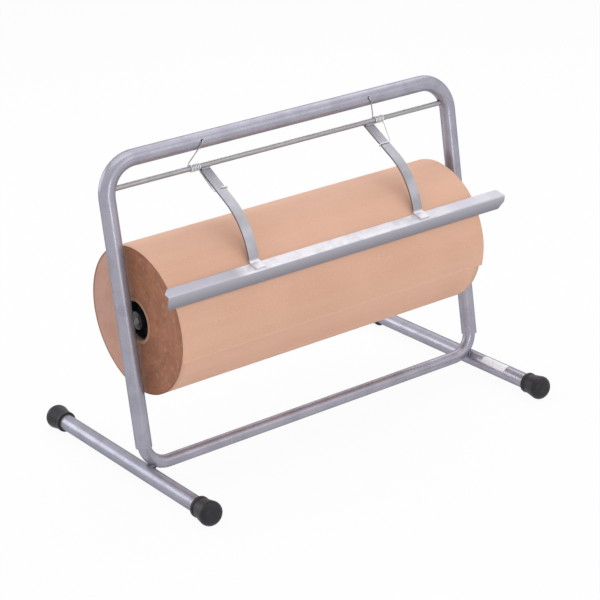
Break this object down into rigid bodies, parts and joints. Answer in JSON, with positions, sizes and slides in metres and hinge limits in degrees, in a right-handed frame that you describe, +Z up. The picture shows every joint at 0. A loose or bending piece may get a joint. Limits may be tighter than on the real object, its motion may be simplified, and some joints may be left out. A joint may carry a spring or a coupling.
{
  "type": "gift wrap paper cutter",
  "caption": "Counter-top stand of bent steel tube that holds a wide roll of wrapping paper on an axle, with a sprung angle bar on two arms to tear the paper against.",
  "frame": {"origin": "on the counter, halfway between the four rubber caps, which is the middle of the bounding box's bottom", "axes": "+X across the object, along the roll, to the right as seen from the front; +Y to the back; +Z up"},
  "size_m": [0.678, 0.453, 0.5003],
  "materials": {
    "silver_paint": "satin",
    "cutter_paint": "satin",
    "rod_steel": "satin",
    "spring_steel": "satin",
    "axle_steel": "satin",
    "cap_rubber": "matte",
    "roll_paper": "matte",
    "sheet_paper": "matte",
    "core_card": "matte",
    "hub_plastic": "matte"
  },
  "bodies": {
    "frame": {"upper_hoop": "silver_paint", "lower_hoop": "silver_paint", "left_foot_tube": "silver_paint", "right_foot_tube": "silver_paint", "left_foot_weld": "silver_paint", "right_foot_weld": "silver_paint", "left_front_cap": "cap_rubber", "left_rear_cap": "cap_rubber", "right_front_cap": "cap_rubber", "right_rear_cap": "cap_rubber", "roll_axle": "axle_steel"},
    "roll": {"paper_roll": "roll_paper", "outer_sheet": "sheet_paper", "core_tube": "core_card", "left_core_hub": "hub_plastic", "right_core_hub": "hub_plastic"},
    "cutter": {"pivot_rod": "rod_steel", "cutter_bar": "cutter_paint", "left_arm": "cutter_paint", "right_arm": "cutter_paint", "left_arm_weld": "cutter_paint", "right_arm_weld": "cutter_paint", "left_spring": "spring_steel", "right_spring": "spring_steel"}
  },
  "joints": [
    {"name": "roll_spin", "type": "hinge", "parent": "frame", "child": "roll", "pos_m": [-0.018, -0.02388, 0.25252], "axis": [1, 0, 0], "continuous": true},
    {"name": "cutter_lift", "type": "hinge", "parent": "frame", "child": "cutter", "pos_m": [0.0055, 0.00314, 0.44999], "axis": [-1, 0, 0], "range_deg": [0, 100], "stiffness_Nm_per_rad": 0.9, "springref_deg": -28.65, "deforming": ["left_spring", "right_spring"]}
  ]
}
